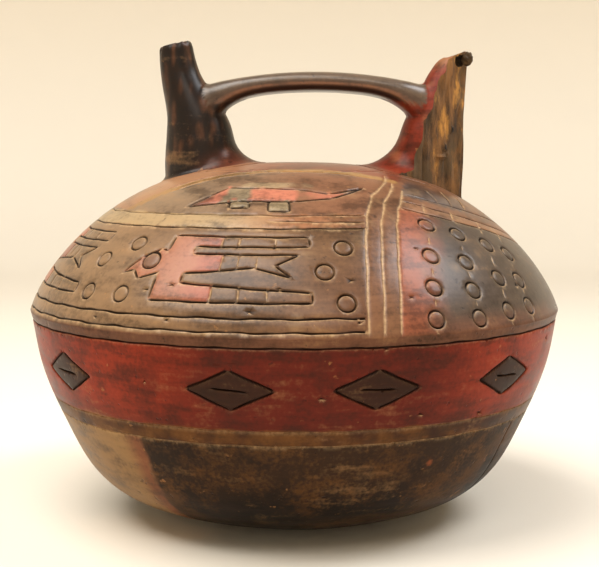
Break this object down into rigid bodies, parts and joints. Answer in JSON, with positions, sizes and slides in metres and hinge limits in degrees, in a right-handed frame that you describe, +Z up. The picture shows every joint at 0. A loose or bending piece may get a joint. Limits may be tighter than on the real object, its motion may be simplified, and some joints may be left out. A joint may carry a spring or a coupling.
{
  "type": "bridge and spout bottle",
  "caption": "Round sharp-shouldered clay bottle with a leaning spout, a strap bridge and the stub of a broken second spout, incised all round.",
  "frame": {"origin": "centre of the underside, where the bottle stands", "axes": "+Z up, +X along the bridge from the whole spout to the broken one, -Y towards the incised front"},
  "size_m": [0.1648, 0.1648, 0.1476],
  "materials": {
    "slipped_clay": "burnished satin, slip painted"
  },
  "bodies": {
    "root": {"bottle": "slipped_clay"}
  },
  "joints": []
}
